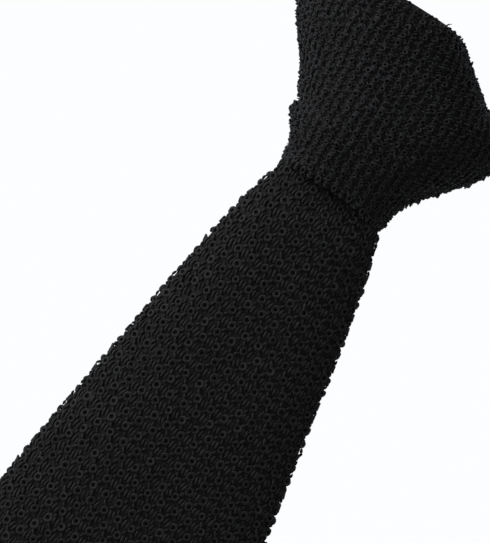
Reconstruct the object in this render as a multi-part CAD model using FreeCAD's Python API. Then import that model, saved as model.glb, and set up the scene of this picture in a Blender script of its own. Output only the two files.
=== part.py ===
import FreeCAD, Part
import math
import os

# A knitted necktie, tied in a small wedge knot and hanging as it does when it is worn.
# Millimetres. X points to the viewer's right, Y away from the viewer and Z up. Everything is drawn
# about the middle of the knot's lower edge, and is moved at the end so that the origin is the
# centre of the neck loop. Soft pieces are plain solids that stand in for folded cloth.

# Neck loop: a band round the collar, lowest where it enters the knot
LOOP_RADIUS = 64.0
LOOP_CENTRE_Y = 80.0
BAND_THICKNESS = 4.0
BAND_WIDTH = 34.0
BAND_WIDTH_AT_KNOT = 20.0
BAND_NARROWING_ANGLE = 45.0
BAND_FRONT_Z = 31.0
BAND_RISE = 67.0
BLADE_SIDE_START_ANGLE = 12.0
TAIL_SIDE_START_ANGLE = 18.0
TAIL_SIDE_DIP = 6.0
TAIL_SIDE_DIP_ANGLE = 24.0
JOIN_SEAM_ANGLE = 100.0
SECTION_STEP = 20.0
SLOPE_STEP = 1.0
TAPE_THICKNESS = 0.8
TAPE_WIDTH = 16.0
TAPE_END_ANGLE = 60.0

# Knot: height, left edge, right edge, front and back of each level, from the lip to the top
KNOT_LEVELS = (
    (0.0, -12.6, 13.4, -14.0, 4.0),
    (5.0, -13.2, 13.8, -15.8, 5.0),
    (12.0, -16.2, 18.4, -18.0, 7.0),
    (20.0, -18.6, 25.2, -20.0, 9.0),
    (32.0, -26.2, 29.0, -20.0, 11.0),
    (40.0, -28.5, 29.0, -18.5, 11.0),
    (43.5, -26.5, 27.0, -14.5, 10.0),
)
KNOT_SHOULDER = ((6.5, 43.5), (30.0, 26.0))
KNOT_SIDE_Y = -4.0
KNOT_SQUARENESS = 0.6
KNOT_POINTS = 16
WRAP_SPLIT_Y = 2.0
THROAT_FRONT_Y = -10.1
THROAT_BACK_Y = -0.1
THROAT_TOP_Z = 9.2
CORE_BACK_Y = 4.5
CORE_TOP_Z = 40.0
CORE_HALF_WIDTH_LOW = 12.2
CORE_HALF_WIDTH_HIGH = 23.0
CORE_SPLIT_Y = -2.5

# Layers that hang below the knot: the blade in front and the tail behind it
BLADE_FRONT_Y = -9.5
BLADE_BACK_Y = -5.0
TAIL_FRONT_Y = -4.2
TAIL_BACK_Y = -0.7
FOLD_AXIS_Y = (BLADE_BACK_Y + TAIL_FRONT_Y) / 2

# Half widths at each depth below the knot's lip; below the last one the edges run straight down
BLADE_HALF_WIDTHS = ((-6.0, 11.6), (0.0, 13.1), (8.0, 15.6), (42.0, 21.7), (80.0, 27.9), (112.0, 30.0))
BLADE_END_Z = -428.0
TAIL_HALF_WIDTHS = ((0.5, 11.0), (12.0, 13.5), (40.0, 17.0), (70.0, 19.0))
TAIL_END_Z = -375.0

# Folds: heights of the axes, and how far each one turns forwards and backwards
FOLD_Z = (-12.0, -150.0, -290.0)
FOLD_FORWARD = (80.0, 75.0, 75.0)
FOLD_BACKWARD = (12.0, 45.0, 45.0)
FOLD_SPARE_ANGLE = 1.0
FOLD_GAP = 0.15
SEGMENT_NAMES = ("throat", "upper", "middle", "lower")

# Strand of the tail inside the knot, which the knot slides down
STRAND_HALF_WIDTH = 11.0
STRAND_END_Z = 2.4
STRAND_BRIDGE_Z = 39.2
STRAND_BRIDGE_THICKNESS = 3.5
CROSSING_FRONT_Y = 11.4
CROSSING_BACK_Y = 20.0
CROSSING_X = (-17.0, 24.0)
CROSSING_Z = 18.0
SLOT_CLEARANCE = 0.4

# Stitches, hems, keeper and label
STITCH_LENGTH = 3.0
STITCH_WIDTH = 0.6
STITCH_HEIGHT = 0.3
STITCH_PITCH = 6.0
STITCH_END_MARGIN = 8.0
JOIN_STITCHES = 7
JOIN_STITCH_PITCH = 4.4
HEM_HEIGHT = 12.0
HEM_THICKNESS = 0.6
HEM_STITCH_INSET = 1.5
KEEPER_TOP_Z = -235.0
KEEPER_WIDTH = 12.0
KEEPER_THICKNESS = 0.5
KEEPER_INNER_HALF = 20.5
KEEPER_FOOT = 4.0
KEEPER_CLEARANCE = 0.6
TACK_SIZE = 1.2
LABEL_TOP_Z = -386.0
LABEL_HEIGHT = 20.0
LABEL_WIDTH = 14.0
LABEL_THICKNESS = 0.5
LABEL_CLEARANCE = 0.3
LABEL_FLAP_TOP = 2.0
TAPE_GAP = 0.3

FAR = 200.0


def point(x, y, z):
    return FreeCAD.Vector(x, y, z)


def box(x0, x1, y0, y1, z0, z1):
    return Part.makeBox(x1 - x0, y1 - y0, z1 - z0, point(x0, y0, z0))


def prism_along_x(profile, half_width):
    """Solid of a closed (y, z) profile, as wide as twice half_width."""
    corners = [point(-half_width, y, z) for y, z in profile]
    face = Part.Face(Part.makePolygon(corners + corners[:1]))
    return face.extrude(point(2 * half_width, 0, 0))


# ---------------------------------------------------------------- neck loop

def band_height_z(angle):
    """Height of the band's middle, at an angle in degrees round from the front, blade side first.
    The tail's side dips as it nears the knot, because it enters the knot lower down."""
    past_start = 360.0 - TAIL_SIDE_START_ANGLE - angle
    dip = TAIL_SIDE_DIP * math.exp(-past_start / TAIL_SIDE_DIP_ANGLE)
    return BAND_FRONT_Z + BAND_RISE * math.sin(math.radians(angle) / 2) - dip


def band_upright(angle, width):
    """Upright measure of a strip of that width, which runs uphill at this angle."""
    rise = band_height_z(angle + SLOPE_STEP) - band_height_z(angle - SLOPE_STEP)
    slope = rise / (LOOP_RADIUS * math.radians(2 * SLOPE_STEP))
    return width * math.hypot(1, slope)


def band_width(angle):
    """The band is gathered to a narrower strip where it enters the knot."""
    past_start = min(angle - BLADE_SIDE_START_ANGLE, 360.0 - TAIL_SIDE_START_ANGLE - angle)
    share = min(1.0, past_start / BAND_NARROWING_ANGLE)
    return BAND_WIDTH_AT_KNOT + (BAND_WIDTH - BAND_WIDTH_AT_KNOT) * math.sin(share * math.pi / 2)


def band_section(angle, thickness, width):
    turn = math.radians(angle)
    half = band_upright(angle, width) / 2
    middle = band_height_z(angle)
    corners = []
    for radius, z in (
        (LOOP_RADIUS - thickness / 2, middle - half),
        (LOOP_RADIUS + thickness / 2, middle - half),
        (LOOP_RADIUS + thickness / 2, middle + half),
        (LOOP_RADIUS - thickness / 2, middle + half),
    ):
        corners.append(point(-radius * math.sin(turn), LOOP_CENTRE_Y - radius * math.cos(turn), z))
    return Part.makePolygon(corners + corners[:1])


def band_piece(start, end):
    count = round((end - start) / SECTION_STEP)
    angles = [start + (end - start) * index / count for index in range(count + 1)]
    wires = [band_section(angle, BAND_THICKNESS, band_width(angle)) for angle in angles]
    return Part.makeLoft(wires, True, False)


def stay_tape():
    end = 360.0 - TAPE_END_ANGLE
    count = round((end - TAPE_END_ANGLE) / SECTION_STEP)
    step = (end - TAPE_END_ANGLE) / count
    angles = [TAPE_END_ANGLE + step * index for index in range(count + 1)]
    wires = [band_section(angle, TAPE_THICKNESS, TAPE_WIDTH) for angle in angles]
    return Part.makeLoft(wires, True, False)


def join_seams(bands):
    """Short stitches that cross the two seams which join the three band pieces."""
    stitches = []
    surface = LOOP_RADIUS + BAND_THICKNESS / 2
    for angle in (JOIN_SEAM_ANGLE, 360.0 - JOIN_SEAM_ANGLE):
        for index in range(JOIN_STITCHES):
            z = band_height_z(angle) + (index - (JOIN_STITCHES - 1) / 2) * JOIN_STITCH_PITCH
            stitch = box(
                -STITCH_LENGTH / 2, STITCH_LENGTH / 2,
                LOOP_CENTRE_Y - surface - STITCH_HEIGHT, LOOP_CENTRE_Y - surface + STITCH_HEIGHT,
                z, z + STITCH_WIDTH,
            )
            stitch.rotate(point(0, LOOP_CENTRE_Y, 0), point(0, 0, 1), -angle)
            stitches.append(stitch.cut(bands))
    return Part.makeCompound(stitches)


def tail_strand():
    """Strip that joins the two ends of the band behind the knot, and goes over and down through it."""
    bridge_top = STRAND_BRIDGE_Z + STRAND_BRIDGE_THICKNESS
    half = STRAND_HALF_WIDTH
    strip = box(-half, half, TAIL_FRONT_Y, TAIL_BACK_Y, STRAND_END_Z, bridge_top)
    bridge = box(-half, half, TAIL_FRONT_Y, CROSSING_BACK_Y, STRAND_BRIDGE_Z, bridge_top)
    crossing = box(*CROSSING_X, CROSSING_FRONT_Y, CROSSING_BACK_Y, CROSSING_Z, bridge_top)
    outside = Part.makeCylinder(LOOP_RADIUS + BAND_THICKNESS / 2, FAR, point(0, LOOP_CENTRE_Y, 0))
    return strip.fuse([bridge, crossing]).removeSplitter().cut([outside, above_shoulder()])


def neck_pieces():
    tape = stay_tape()
    bands = {
        "neckband_blade_side": band_piece(BLADE_SIDE_START_ANGLE, JOIN_SEAM_ANGLE),
        "neckband_back": band_piece(JOIN_SEAM_ANGLE, 360.0 - JOIN_SEAM_ANGLE),
        "neckband_tail_side": band_piece(360.0 - JOIN_SEAM_ANGLE, 360.0 - TAIL_SIDE_START_ANGLE),
    }
    pieces = {"neck_join_seams": join_seams(list(bands.values()))}
    for name, band in bands.items():
        pieces[name] = band.cut(tape)
    pieces["neckband_stay_tape"] = tape
    pieces["tail_strand"] = tail_strand()
    return pieces


# ---------------------------------------------------------------- knot

def signed_power(value, power):
    return math.copysign(abs(value) ** power, value)


def knot_section(z, left, right, front, back):
    """Rounded outline of the knot at one height, widest at KNOT_SIDE_Y."""
    middle = (left + right) / 2
    half = (right - left) / 2
    points = []
    for index in range(KNOT_POINTS):
        turn = 2 * math.pi * index / KNOT_POINTS
        reach = signed_power(math.sin(turn), KNOT_SQUARENESS)
        depth = back - KNOT_SIDE_Y if reach > 0 else KNOT_SIDE_Y - front
        x = middle + half * signed_power(math.cos(turn), KNOT_SQUARENESS)
        points.append(point(x, KNOT_SIDE_Y + depth * reach, z))
    curve = Part.BSplineCurve()
    curve.interpolate(Points=points, PeriodicFlag=True)
    return Part.Wire([curve.toShape()])


def knot_core():
    """Wedge of folded layers inside the wraps."""
    low = CORE_HALF_WIDTH_LOW
    high = CORE_HALF_WIDTH_HIGH
    corners = [
        point(-low, THROAT_FRONT_Y, THROAT_TOP_Z),
        point(low, THROAT_FRONT_Y, THROAT_TOP_Z),
        point(high, THROAT_FRONT_Y, CORE_TOP_Z),
        point(-high, THROAT_FRONT_Y, CORE_TOP_Z),
    ]
    face = Part.Face(Part.makePolygon(corners + corners[:1]))
    return face.extrude(point(0, CORE_BACK_Y - THROAT_FRONT_Y, 0))


def above_shoulder():
    """Space above the knot's falling shoulder, on the tail's side."""
    (x0, z0), (x1, z1) = KNOT_SHOULDER
    drop = (z0 - z1) / (x1 - x0)
    corners = [
        point(x0, -FAR, z0),
        point(FAR, -FAR, z0 - drop * (FAR - x0)),
        point(FAR, -FAR, FAR),
        point(x0, -FAR, FAR),
    ]
    return Part.Face(Part.makePolygon(corners + corners[:1])).extrude(point(0, 2 * FAR, 0))


def knot_pieces():
    shoulder = above_shoulder()
    outer = Part.makeLoft([knot_section(*level) for level in KNOT_LEVELS], True, False).cut(shoulder)
    core = knot_core().cut(shoulder)
    throat = box(-FAR, FAR, THROAT_FRONT_Y, THROAT_BACK_Y, -FAR, THROAT_TOP_Z)
    slot_half = STRAND_HALF_WIDTH + SLOT_CLEARANCE
    slot_front = TAIL_FRONT_Y - SLOT_CLEARANCE
    slot = box(-slot_half, slot_half, slot_front, TAIL_BACK_Y + SLOT_CLEARANCE, -FAR, FAR)
    bridge_room = box(-slot_half, slot_half, slot_front, FAR, STRAND_BRIDGE_Z - SLOT_CLEARANCE, FAR)
    wraps = outer.cut([core, throat, slot, bridge_room])
    layers = core.cut([slot, bridge_room])
    return {
        "knot_front_wrap": wraps.common(box(-FAR, FAR, -FAR, WRAP_SPLIT_Y, -FAR, FAR)),
        "knot_back_wrap": wraps.common(box(-FAR, FAR, WRAP_SPLIT_Y, FAR, -FAR, FAR)),
        "knot_inner_pass": layers.common(box(-FAR, FAR, -FAR, CORE_SPLIT_Y, -FAR, FAR)),
        "knot_under_wrap": layers.common(box(-FAR, FAR, CORE_SPLIT_Y, FAR, -FAR, FAR)),
    }


# ---------------------------------------------------------------- blade and tail

def strip_outline(half_widths, end_z):
    """Closed outline in the XZ plane: flared edges at the top, then straight down to a square end."""
    edges = []
    for side in (1, -1):
        curve = Part.BSplineCurve()
        curve.interpolate([point(side * half, 0, -depth) for depth, half in half_widths])
        edges.append(curve.toShape())
    top_depth, top_half = half_widths[0]
    low_depth, low_half = half_widths[-1]
    straight = (
        ((low_half, -low_depth), (low_half, end_z)),
        ((low_half, end_z), (-low_half, end_z)),
        ((-low_half, end_z), (-low_half, -low_depth)),
        ((-top_half, -top_depth), (top_half, -top_depth)),
    )
    for (x0, z0), (x1, z1) in straight:
        edges.append(Part.makeLine(point(x0, 0, z0), point(x1, 0, z1)))
    return Part.Wire(Part.__sortEdges__(edges))


def segment_profile(near_y, far_y, angles, index, end_z):
    """Side view of one segment, with ends cut back to clear its neighbours when a fold turns."""
    def cut_back(fold, y):
        slope = math.tan(math.radians(angles[fold] / 2 + FOLD_SPARE_ANGLE))
        return FOLD_GAP + abs(y - FOLD_AXIS_Y) * slope

    def top(y):
        return FAR if index == 0 else FOLD_Z[index - 1] - cut_back(index - 1, y)

    def bottom(y):
        return end_z if index == len(FOLD_Z) else FOLD_Z[index] + cut_back(index, y)

    return ((near_y, top(near_y)), (far_y, top(far_y)), (far_y, bottom(far_y)), (near_y, bottom(near_y)))


def strip_segments(name, half_widths, near_y, far_y, angles, end_z):
    """The throat, upper, middle and lower segments of the blade or the tail."""
    face = Part.Face(strip_outline(half_widths, end_z))
    face.translate(point(0, min(near_y, far_y), 0))
    slab = face.extrude(point(0, abs(far_y - near_y), 0))
    pieces = {}
    for index, segment in enumerate(SEGMENT_NAMES):
        profile = segment_profile(near_y, far_y, angles, index, end_z)
        pieces[f"{name}_{segment}"] = slab.common(prism_along_x(profile, FAR))
    return pieces


def back_seams(name, surface_y, end_z):
    """Slip stitches down the middle of the back, a group on each segment."""
    pieces = {}
    limits = list(FOLD_Z) + [end_z]
    for segment, top_z, bottom_z in zip(SEGMENT_NAMES[1:], limits, limits[1:]):
        length = top_z - bottom_z - 2 * STITCH_END_MARGIN - HEM_HEIGHT
        stitches = []
        for index in range(int(length / STITCH_PITCH)):
            z = top_z - STITCH_END_MARGIN - index * STITCH_PITCH
            stitches.append(box(-STITCH_WIDTH / 2, STITCH_WIDTH / 2, surface_y,
                                surface_y + STITCH_HEIGHT, z - STITCH_LENGTH, z))
        pieces[f"{name}_seam_{segment}"] = Part.makeCompound(stitches)
    return pieces


def hem(half_width, surface_y, end_z):
    """The turned-up end, which lies flat against the back."""
    return box(-half_width, half_width, surface_y, surface_y + HEM_THICKNESS, end_z, end_z + HEM_HEIGHT)


def hem_stitches(half_width, surface_y, end_z):
    """Row of stitches across the turned-up end."""
    y = surface_y + HEM_THICKNESS
    z = end_z + HEM_HEIGHT - HEM_STITCH_INSET
    count = int(2 * (half_width - HEM_STITCH_INSET) / STITCH_PITCH)
    start = -(count - 1) * STITCH_PITCH / 2 - STITCH_LENGTH / 2
    stitches = []
    for index in range(count):
        x = start + index * STITCH_PITCH
        stitches.append(box(x, x + STITCH_LENGTH, y, y + STITCH_HEIGHT, z - STITCH_WIDTH, z))
    return Part.makeCompound(stitches)


def blade_pieces():
    half = BLADE_HALF_WIDTHS[-1][1]
    pieces = strip_segments("front_blade", BLADE_HALF_WIDTHS, BLADE_BACK_Y, BLADE_FRONT_Y,
                            FOLD_FORWARD, BLADE_END_Z)
    pieces.update(back_seams("front_blade", BLADE_BACK_Y, LABEL_TOP_Z))
    pieces["front_blade_hem"] = hem(half, BLADE_BACK_Y, BLADE_END_Z)
    pieces["front_blade_hem_stitches"] = hem_stitches(half, BLADE_BACK_Y, BLADE_END_Z)
    return pieces


def tail_pieces():
    half = TAIL_HALF_WIDTHS[-1][1]
    pieces = strip_segments("tail", TAIL_HALF_WIDTHS, TAIL_FRONT_Y, TAIL_BACK_Y,
                            FOLD_BACKWARD, TAIL_END_Z)
    pieces.update(back_seams("tail", TAIL_BACK_Y, TAIL_END_Z))
    pieces["tail_hem"] = hem(half, TAIL_BACK_Y, TAIL_END_Z)
    pieces["tail_hem_stitches"] = hem_stitches(half, TAIL_BACK_Y, TAIL_END_Z)
    return pieces


# ---------------------------------------------------------------- keeper and label

def keeper_pieces():
    """Ribbon across the tail, with a foot at each end tacked to the back of the blade."""
    inner_y = TAIL_BACK_Y + KEEPER_CLEARANCE
    outer_y = inner_y + KEEPER_THICKNESS
    outer_half = KEEPER_INNER_HALF + KEEPER_THICKNESS
    foot_half = outer_half + KEEPER_FOOT
    bottom_z = KEEPER_TOP_Z - KEEPER_WIDTH
    parts = [box(-outer_half, outer_half, inner_y, outer_y, bottom_z, KEEPER_TOP_Z)]
    tacks = []
    for side in (-1, 1):
        wall = sorted((side * KEEPER_INNER_HALF, side * outer_half))
        foot = sorted((side * KEEPER_INNER_HALF, side * foot_half))
        parts.append(box(*wall, BLADE_BACK_Y, outer_y, bottom_z, KEEPER_TOP_Z))
        parts.append(box(*foot, BLADE_BACK_Y, BLADE_BACK_Y + KEEPER_THICKNESS, bottom_z, KEEPER_TOP_Z))
        tack_x = side * (foot_half - KEEPER_FOOT / 2)
        tacks.append(box(tack_x - TACK_SIZE / 2, tack_x + TACK_SIZE / 2,
                         BLADE_BACK_Y + KEEPER_THICKNESS,
                         BLADE_BACK_Y + KEEPER_THICKNESS + STITCH_HEIGHT,
                         bottom_z + TACK_SIZE, KEEPER_TOP_Z - TACK_SIZE))
    loop = parts[0].fuse(parts[1:]).removeSplitter()
    return {"keeper_loop": loop, "keeper_tacks": Part.makeCompound(tacks)}


def label_pieces():
    """Blank label that hangs from a stitched fold on the back of the blade."""
    half = LABEL_WIDTH / 2
    y = BLADE_BACK_Y + LABEL_CLEARANCE
    label = box(-half, half, y, y + LABEL_THICKNESS, LABEL_TOP_Z - LABEL_HEIGHT, LABEL_TOP_Z)
    tape_low_z = LABEL_TOP_Z + TAPE_GAP
    tape = box(-half, half, BLADE_BACK_Y, y + LABEL_THICKNESS, tape_low_z, tape_low_z + LABEL_FLAP_TOP)
    return {"care_label": label, "care_label_tape": tape}


# ---------------------------------------------------------------- export

def main():
    pieces = {}
    for group in (neck_pieces, knot_pieces, blade_pieces, tail_pieces, keeper_pieces, label_pieces):
        pieces.update(group())
    to_loop_centre = point(0, -LOOP_CENTRE_Y, -(BAND_FRONT_Z + BAND_RISE / 2))
    os.makedirs("parts", exist_ok=True)
    for name, shape in pieces.items():
        shape.translate(to_loop_centre)
        shape.exportStep(f"parts/{name}.step")
        print(f"{name:28s} {len(shape.Solids):3d} solids, valid {shape.isValid()}, {shape.Volume:9.1f} mm3")


main()
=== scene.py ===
import math

import bpy
import numpy as np
from mathutils import Matrix, Vector


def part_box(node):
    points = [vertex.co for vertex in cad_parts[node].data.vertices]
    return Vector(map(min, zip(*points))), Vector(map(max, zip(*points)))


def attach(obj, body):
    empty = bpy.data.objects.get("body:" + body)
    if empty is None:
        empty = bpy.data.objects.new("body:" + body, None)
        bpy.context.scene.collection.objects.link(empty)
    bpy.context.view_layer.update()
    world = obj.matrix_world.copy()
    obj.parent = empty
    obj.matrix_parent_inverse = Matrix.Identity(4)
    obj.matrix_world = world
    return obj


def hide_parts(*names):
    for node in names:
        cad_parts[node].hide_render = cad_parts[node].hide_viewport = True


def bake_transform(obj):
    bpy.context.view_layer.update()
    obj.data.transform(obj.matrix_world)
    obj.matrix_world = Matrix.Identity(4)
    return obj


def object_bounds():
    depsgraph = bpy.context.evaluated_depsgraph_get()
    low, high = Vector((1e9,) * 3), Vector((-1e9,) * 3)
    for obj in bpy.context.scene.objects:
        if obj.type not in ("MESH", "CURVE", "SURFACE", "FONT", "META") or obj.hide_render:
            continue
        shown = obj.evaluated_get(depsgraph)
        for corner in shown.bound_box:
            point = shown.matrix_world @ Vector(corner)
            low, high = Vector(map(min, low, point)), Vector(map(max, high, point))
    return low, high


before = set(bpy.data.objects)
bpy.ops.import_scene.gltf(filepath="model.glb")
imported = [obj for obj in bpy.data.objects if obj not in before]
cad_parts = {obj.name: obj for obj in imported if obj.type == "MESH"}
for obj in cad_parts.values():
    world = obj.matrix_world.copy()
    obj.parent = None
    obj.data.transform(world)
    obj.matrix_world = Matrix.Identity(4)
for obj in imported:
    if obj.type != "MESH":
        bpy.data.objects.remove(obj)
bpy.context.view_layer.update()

# A black knitted tie, tied in a slim wedge knot. The knit is a staggered grid of yarn rings with short
# strands between them, laid over closed tubes of dark ground cloth. Lengths here are in millimetres,
# from the middle of the knot's lower edge: X to the viewer's right, Y away, Z up. place() turns them
# into the frame's metres.

BLADE_BACK_Y = -5.0
TAIL_BACK_Y = -0.7
KNOT_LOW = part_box("knot_front_wrap")[0].z
BLADE_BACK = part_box("front_blade_upper")[1].y
LIP = np.array([0.0, BLADE_BACK - BLADE_BACK_Y / 1000, KNOT_LOW])

BLADE_LENGTH = (KNOT_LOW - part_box("front_blade_lower")[0].z) * 1000
TAIL_LENGTH = (KNOT_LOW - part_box("tail_lower")[0].z) * 1000
BLADE_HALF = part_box("front_blade_lower")[1].x * 1000
TAIL_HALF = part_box("tail_lower")[1].x * 1000

# Knit: pitches in the cloth, and how far it turns where it leaves the knot
RING_PITCH = 3.34
COURSE_PITCH = 2.66
SKEW_DEGREES = 6.0
SKEW_END = (60.0, 150.0)

RING_RADIUS = 0.67
RING_YARN = 0.28
RING_LIFT = 0.75      # height of the ring's middle over the cloth, in radii of its yarn
STRAND_LENGTH = 1.6
STRAND_YARN = 0.31
STRAND_GAP = 0.38
STRAND_SINK = 0.3
STRAND_HEIGHT = 0.3
STRAND_TAPER = 0.6
GRAIN_LENGTH = 1.2
GRAIN_YARN = 0.3
GRAIN_LEAN = 0.25
GRAIN_HEIGHT = 0.14
YARN_FULLNESS = 1.05  # squared thickness in the middle of a bit of yarn; the rest keeps its ends open
POSITION_JITTER = 0.06
TURN_JITTER = 0.15
TILT_JITTER = 0.16
SIZE_JITTER = 0.06
YARN_SHARES = (0.3, 0.45, 0.25)
EDGE_MARGIN = 0.7     # bare cloth at the seam down the back
SPARE_STITCHES = 12   # counted past the ends and edges, where the limits drop them
ROUND_COURSES = 60    # counted each way where the wales run round the tube

# Points round and across each ring, and round and along each bit of yarn
FINE = {"ring": (12, 6), "strand": (5, 5), "grain": (5, 4)}
TIGHT = {"ring": (10, 5), "strand": (4, 4), "grain": (4, 3)}
PLAIN = {"ring": (8, 4), "strand": (3, 3)}

SEED = 7


# ---------- mesh helpers

SHORTEST = 1e-9
RUN_STEP = 0.5
SHUT = 0.02           # share that a row of points is drawn in to where an end is shut


def place(points):
    """Points in millimetres from the knot's lower edge, as metres in the frame."""
    return np.asarray(points, float) / 1000 + LIP


def new_mesh(name, points, quads, shades=None, materials=()):
    """Object from arrays of points (mm) and four-cornered faces, smooth shaded."""
    mesh = bpy.data.meshes.new(name)
    mesh.vertices.add(len(points))
    mesh.vertices.foreach_set("co", place(points).astype(np.float32).ravel())
    mesh.loops.add(quads.size)
    mesh.loops.foreach_set("vertex_index", quads.astype(np.int32).ravel())
    mesh.polygons.add(len(quads))
    mesh.polygons.foreach_set("loop_start", np.arange(0, quads.size, 4, dtype=np.int32))
    mesh.polygons.foreach_set("use_smooth", np.ones(len(quads), bool))
    for material in materials:
        mesh.materials.append(material)
    if shades is not None:
        mesh.polygons.foreach_set("material_index", shades.astype(np.int32))
    mesh.update(calc_edges=True)
    mesh.validate()
    piece = bpy.data.objects.new(name, mesh)
    bpy.context.scene.collection.objects.link(piece)
    return piece


def grid_quads(rows, columns, close_rows=False):
    """Faces of a grid of rows by columns points, whose last column joins the first."""
    row, column = np.meshgrid(np.arange(rows if close_rows else rows - 1), np.arange(columns), indexing="ij")
    below, right = (row + 1) % rows, (column + 1) % columns
    corners = (row * columns + column, row * columns + right,
               below * columns + right, below * columns + column)
    return np.stack([corner.ravel() for corner in corners], 1)


def copies(quads, count, size):
    """The same faces for count copies of a shape of that many points."""
    return (quads[None] + (np.arange(count) * size)[:, None, None]).reshape(-1, 4)


def ramp(value, low, high):
    """Smooth step from 0 at low to 1 at high."""
    share = np.clip((np.asarray(value, float) - low) / (high - low), 0, 1)
    return share * share * (3 - 2 * share)


def unit(vectors):
    """The vectors at length 1; one of no length stays as it is."""
    return vectors / np.maximum(np.linalg.norm(vectors, axis=-1, keepdims=True), SHORTEST)


def direction(path, t):
    """Unit direction in which a path runs at t."""
    t = np.asarray(t, float)
    return unit(path(t + RUN_STEP) - path(t - RUN_STEP))


def path_lengths(path):
    """Distance along a path in a plane, at each of its points."""
    return np.concatenate([[0], np.cumsum(np.hypot(*np.diff(np.array(path), axis=0).T))])


def drawn_in(row, keep):
    """A row of points drawn in towards its middle, to that share of its size."""
    middle = row.mean(0)
    return middle + (row - middle) * keep


def shut(rows, steps=(SHUT,)):
    """Rows of points, with one more row for each step at both ends, drawn in to that share."""
    first, last = ([drawn_in(rows[end], keep) for keep in steps] for end in (0, -1))
    return np.concatenate([first[::-1], rows, last])


def grid_mesh(name, rows, material, close_rows=False):
    """Mesh through rows of points, each of which is a closed ring."""
    quads = grid_quads(len(rows), len(rows[0]), close_rows)
    return new_mesh(name, rows.reshape(-1, 3), quads, materials=[material])


def curve_through(xs, ys):
    """Smooth curve through points, level past both ends."""
    xs, ys = np.array(xs, float), np.array(ys, float)
    slopes = np.gradient(ys, xs)

    def value(x):
        x = np.clip(x, xs[0], xs[-1])
        k = np.clip(np.searchsorted(xs, x) - 1, 0, len(xs) - 2)
        width = xs[k + 1] - xs[k]
        u = (x - xs[k]) / width
        return ((2 * u ** 3 - 3 * u ** 2 + 1) * ys[k] + (u ** 3 - 2 * u ** 2 + u) * width * slopes[k]
                + (3 * u ** 2 - 2 * u ** 3) * ys[k + 1] + (u ** 3 - u ** 2) * width * slopes[k + 1])
    return value


# ---------- cloth tubes

SECTION_POINTS = 60   # along each flat side of a section, and round its rolled edge
BULGE_POWER = 3
LAST_CELL = 1.001     # keeps a place at the very end inside the last cell of the table


def centred(t):
    """s is counted from the section's own middle."""
    return 0.0 * t


class Tube:
    """Closed flat tube of cloth. t runs along it and s round it, both in mm of cloth; s is 0 down the
    middle of the front, and the two sides meet down the middle of the back. half, edge, crown and
    back_crown give the section at t: half width, radius of the rolled edges, and how far the front and
    the back swell. middle is the place of the section's middle in a count of s that starts elsewhere,
    and shift moves the finished points."""

    ROWS = 120
    STEPS = 160

    def __init__(self, start, end, centre, across, depth, half, edge, crown, back_crown,
                 middle=centred, shift=None):
        self.start, self.end = start, end
        self.centre, self.across, self.depth = centre, across, depth
        self.middle = middle
        self.shift = shift
        self.half = half
        self.rows = np.linspace(start, end, self.ROWS)
        self.table = np.zeros((2, self.ROWS, self.STEPS))
        self.girth = np.zeros(self.ROWS)
        for index, t in enumerate(self.rows):
            x, y = self.section(half(t), edge(t), crown(t), back_crown(t))
            length = path_lengths(np.stack([x, y], -1))
            share = np.linspace(0, length[-1], self.STEPS)
            self.table[0, index] = np.interp(share, length, x)
            self.table[1, index] = np.interp(share, length, y)
            self.girth[index] = length[-1]
        centre_t = np.array([(start + end) / 2])
        normal = self.cross(np.zeros(1), centre_t)
        self.sign = -math.copysign(1, float((normal * depth(centre_t)).sum()))

    @staticmethod
    def section(half, edge, crown, back_crown):
        """Half of the outline, from the middle of the front, round the edge, to the middle of the back."""
        flat = half - edge
        turn = np.linspace(-math.pi / 2, math.pi / 2, SECTION_POINTS)
        run = np.linspace(0, flat, SECTION_POINTS)[:-1]
        x = np.concatenate([run, flat + edge * np.cos(turn), run[::-1]])
        y = np.concatenate([np.full(len(run), -edge), edge * np.sin(turn), np.full(len(run), edge)])
        bulge = 1 - (x / half) ** BULGE_POWER
        y = y - crown * bulge * (1 - y / edge) / 2 + back_crown * bulge * (1 + y / edge) / 2
        return x, y

    def half_girth(self, t):
        """Cloth from the middle of the front to the middle of the back."""
        return np.interp(t, self.rows, self.girth)

    def at(self, s, t):
        """Points of the surface."""
        share = (t - self.start) / (self.end - self.start)
        row = np.clip(share * (self.ROWS - 1), 0, self.ROWS - LAST_CELL)
        step = np.clip(np.abs(s) / self.half_girth(t), 0, 1) * (self.STEPS - LAST_CELL)
        r, c = row.astype(int), step.astype(int)
        fr, fc = row - r, step - c
        local = ((self.table[:, r, c] * (1 - fc) + self.table[:, r, c + 1] * fc) * (1 - fr)
                 + (self.table[:, r + 1, c] * (1 - fc) + self.table[:, r + 1, c + 1] * fc) * fr)
        x = local[0] * np.where(s < 0, -1, 1)
        points = self.centre(t) + x[..., None] * self.across(t) + local[1][..., None] * self.depth(t)
        return points if self.shift is None else points + self.shift(points)

    def cross(self, s, t):
        """Unit normals of the surface, all inwards or all outwards."""
        tiny = 0.05
        along = self.at(s, t + tiny) - self.at(s, t - tiny)
        around = self.at(s + tiny, t) - self.at(s - tiny, t)
        return unit(np.cross(along, around))

    def frame(self, s, t):
        """Point and outward normal."""
        return self.at(s, t), self.cross(s, t) * self.sign


GROUND_INSET = 0.05
GROUND_STEP = 2.5
GROUND_COLUMNS = 96
FEWEST_ROWS = 4
CAP_STEPS = (0.9, 0.5, SHUT)
SLEEVE_STEP = 1.0
SLEEVE_COLUMNS = 144
SLEEVE_TUCK = 0.4     # how far the sleeve's inner side stops short of each end, as a share of the wall


def ring_rows(tube, ts, insets, columns):
    """Rows of points round the tube at each t, each so far inside its surface."""
    share = np.linspace(-1, 1, columns, endpoint=False)
    tt, ss = np.meshgrid(ts, share, indexing="ij")
    points, normals = tube.frame(ss * tube.half_girth(tt), tt)
    return points - normals * np.asarray(insets)[:, None, None]


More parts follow.
